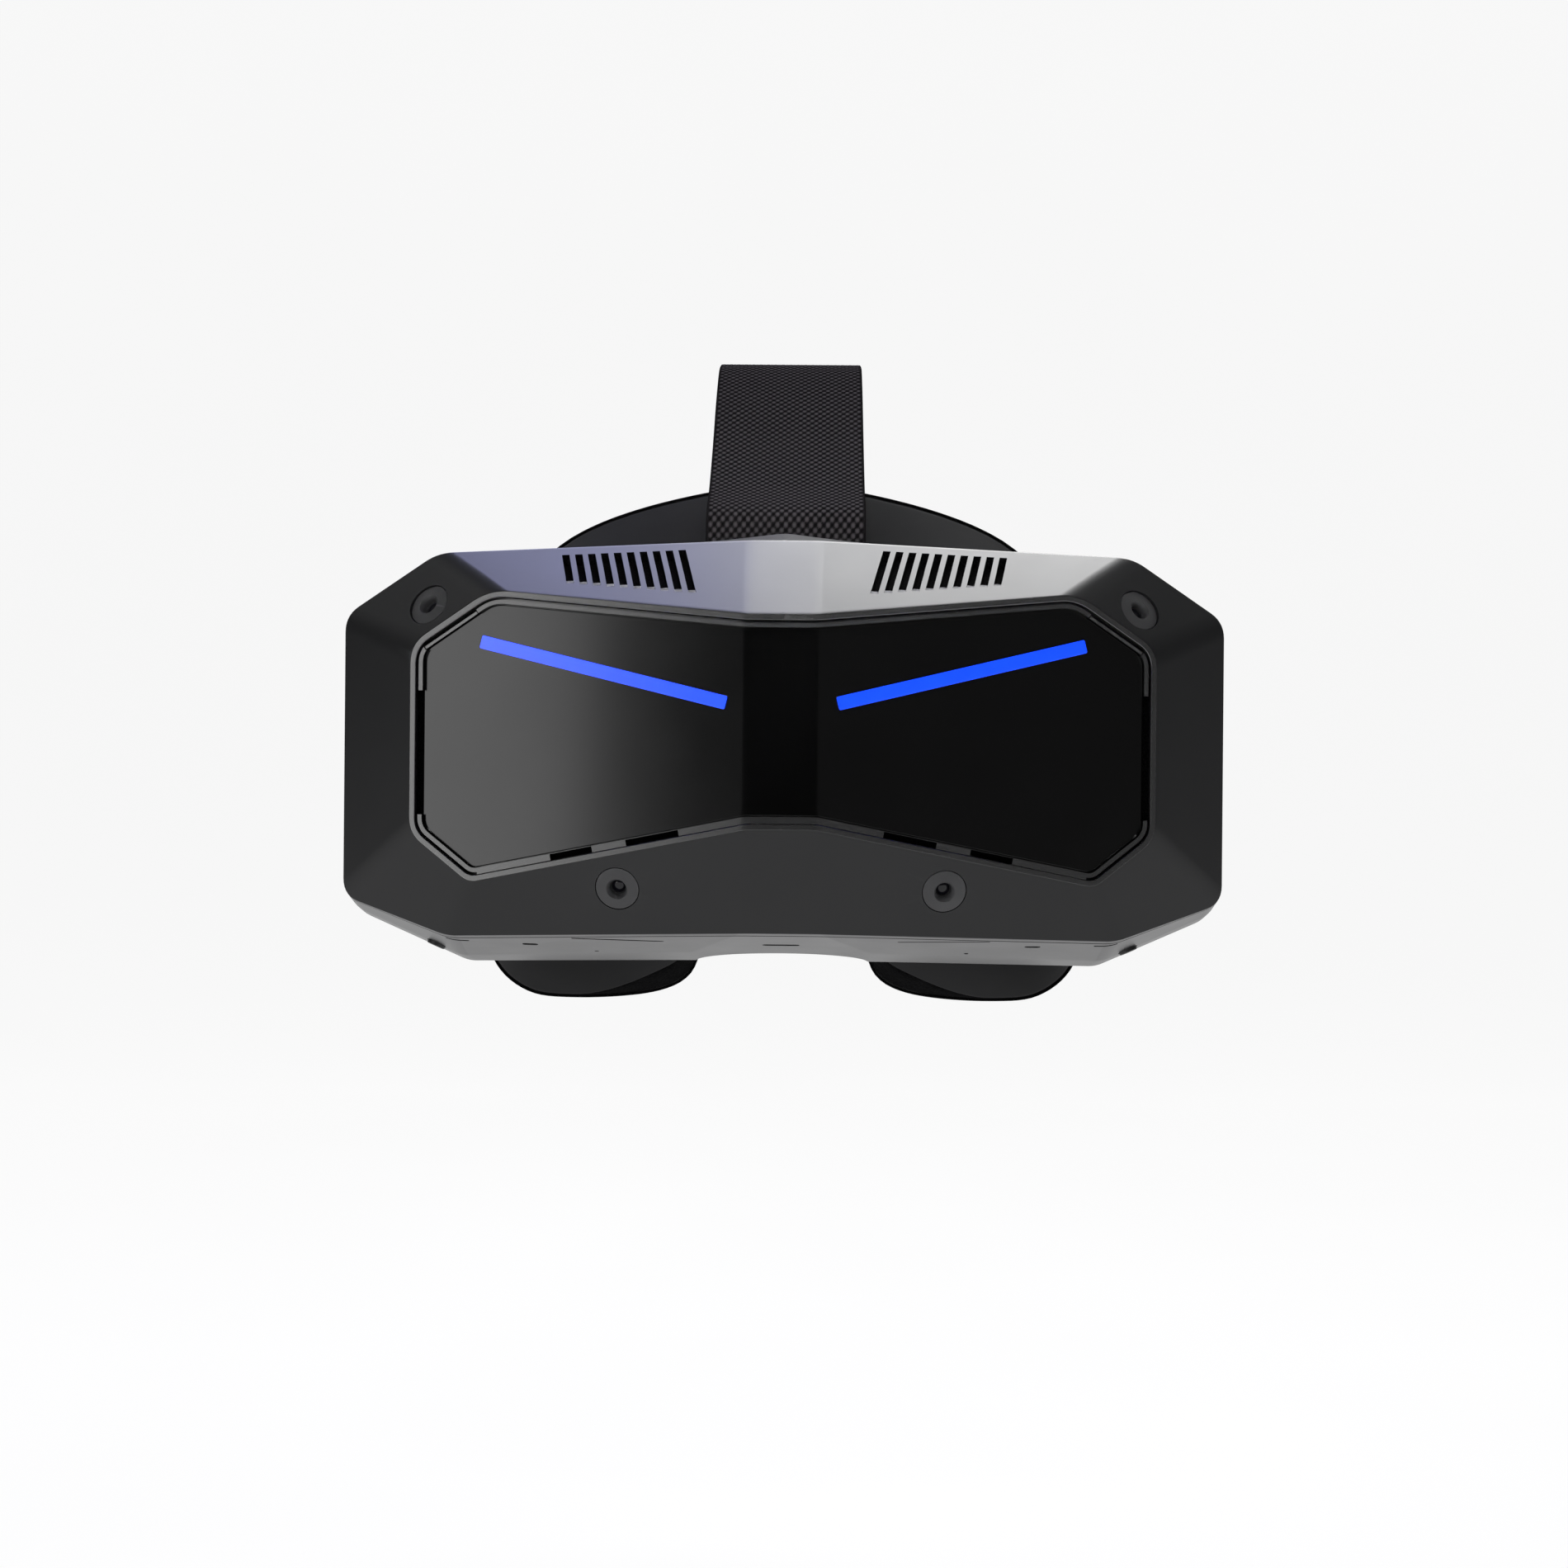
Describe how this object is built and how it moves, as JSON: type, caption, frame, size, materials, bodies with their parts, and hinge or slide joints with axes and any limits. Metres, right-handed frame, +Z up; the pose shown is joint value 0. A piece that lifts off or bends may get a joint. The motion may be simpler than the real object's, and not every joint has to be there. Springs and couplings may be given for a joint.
{
  "type": "vr headset",
  "caption": "Faceted head-mounted display with face gasket, corner tracking cameras, tilting side arms, sliding rear cradle with fit dial, and a woven top strap.",
  "frame": {"origin": "between the wearer's eyes, in the plane where the face foam meets the forehead", "axes": "+Y from the front of the visor to the back of the head, +Z up, +X to the wearer's left"},
  "size_m": [0.28, 0.333, 0.2297],
  "materials": {
    "shell": "satin charcoal paint",
    "dark_trim": "fine moulded texture",
    "faceplate_gloss": "gloss black",
    "light_strip": "lit blue diffuser",
    "dark_glass": "dark infrared window",
    "lens_glass": "clear aspheric lens",
    "foam": "knit-faced foam",
    "webbing": "coarse woven webbing",
    "cast_chassis": "cast",
    "heat_sink": "machined",
    "steel": "brushed",
    "board": "solder mask",
    "dial_rubber": "soft touch"
  },
  "bodies": {
    "visor": {"front_shell": "shell", "faceplate_frame": "dark_trim", "rear_housing": "shell", "rear_cover": "dark_trim", "nose_shield": "dark_trim", "chassis": "cast_chassis", "ipd_rod_upper": "steel", "ipd_rod_lower": "steel", "ipd_motor": "steel", "main_board": "board", "heat_spreader": "heat_sink", "fan_housing_left": "dark_trim", "fan_housing_right": "dark_trim", "camera_bezel_upper_left": "dark_trim", "camera_bezel_upper_right": "dark_trim", "camera_bezel_lower_left": "dark_trim", "camera_bezel_lower_right": "dark_trim", "camera_module_upper_left": "dark_glass", "camera_module_upper_right": "dark_glass", "camera_module_lower_left": "dark_glass", "camera_module_lower_right": "dark_glass", "proximity_sensor": "dark_glass", "cable_socket": "steel", "strap_anchor": "dark_trim", "top_strap_front": "webbing", "arm_bracket_left": "dark_trim", "arm_bracket_right": "dark_trim", "arm_pin_left": "steel", "arm_pin_right": "steel"},
    "faceplate": {"faceplate": "faceplate_gloss", "light_strip_left": "light_strip", "light_strip_right": "light_strip"},
    "eye_left": {"eye_tube_left": "dark_trim", "lens_left": "lens_glass", "display_left": "dark_glass"},
    "eye_right": {"eye_tube_right": "dark_trim", "lens_right": "lens_glass", "display_right": "dark_glass"},
    "ipd_gear": {"ipd_pinion": "steel"},
    "fan_left": {"fan_rotor_left": "dark_trim"},
    "fan_right": {"fan_rotor_right": "dark_trim"},
    "power_key": {"power_button": "dark_trim"},
    "volume_key": {"volume_button": "dark_trim"},
    "face_gasket": {"gasket_frame": "dark_trim", "face_foam": "foam"},
    "headband": {"arm_left": "dark_trim", "arm_right": "dark_trim", "speaker_left": "dark_trim", "speaker_right": "dark_trim"},
    "cradle": {"rack_left": "dark_trim", "rack_right": "dark_trim", "rear_cradle": "dark_trim", "cradle_pad": "foam", "top_strap_rear": "webbing"},
    "dial": {"fit_dial": "dial_rubber"}
  },
  "joints": [
    {"name": "faceplate_pull", "type": "slide", "parent": "visor", "child": "faceplate", "axis": [0, -1, 0], "range_m": [0, 0.03]},
    {"name": "eye_left_slide", "type": "slide", "parent": "visor", "child": "eye_left", "axis": [1, 0, 0], "range_m": [-0.003, 0.004]},
    {"name": "eye_right_slide", "type": "slide", "parent": "visor", "child": "eye_right", "axis": [1, 0, 0], "range_m": [-0.004, 0.003]},
    {"name": "ipd_gear_turn", "type": "hinge", "parent": "visor", "child": "ipd_gear", "pos_m": [0, -0.062, 0.036], "axis": [0, 1, 0], "range_deg": [-52, 52]},
    {"name": "fan_left_spin", "type": "hinge", "parent": "visor", "child": "fan_left", "pos_m": [0.05, -0.0835, 0.03], "axis": [0, 0, 1], "continuous": true},
    {"name": "fan_right_spin", "type": "hinge", "parent": "visor", "child": "fan_right", "pos_m": [-0.05, -0.0835, 0.03], "axis": [0, 0, 1], "continuous": true},
    {"name": "power_press", "type": "slide", "parent": "visor", "child": "power_key", "axis": [0.3954, 0.122, 0.9104], "range_m": [0, 0.0006], "stiffness_N_per_m": 800, "springref_m": -0.001},
    {"name": "volume_press", "type": "slide", "parent": "visor", "child": "volume_key", "axis": [-0.3954, 0.122, 0.9104], "range_m": [0, 0.0006], "stiffness_N_per_m": 800, "springref_m": -0.001},
    {"name": "gasket_pull", "type": "slide", "parent": "visor", "child": "face_gasket", "axis": [0, 1, 0], "range_m": [0, 0.02]},
    {"name": "headband_tilt", "type": "hinge", "parent": "visor", "child": "headband", "pos_m": [0, -0.034, 0.005], "axis": [1, 0, 0], "range_deg": [-10, 20], "deforming": ["top_strap_front"]},
    {"name": "cradle_slide", "type": "slide", "parent": "headband", "child": "cradle", "axis": [0, 1, 0], "range_m": [0, 0.03], "deforming": ["top_strap_rear"]},
    {"name": "dial_turn", "type": "hinge", "parent": "cradle", "child": "dial", "pos_m": [0, 0.2135, -0.002], "axis": [0, 1, 0], "range_deg": [0, 220]}
  ],
  "couplings": [
    {"joint": "eye_right_slide", "follows": "eye_left_slide", "ratio": -1},
    {"joint": "ipd_gear_turn", "follows": "eye_left_slide", "rad_per_m": 222.22},
    {"joint": "dial_turn", "follows": "cradle_slide", "rad_per_m": 125}
  ]
}
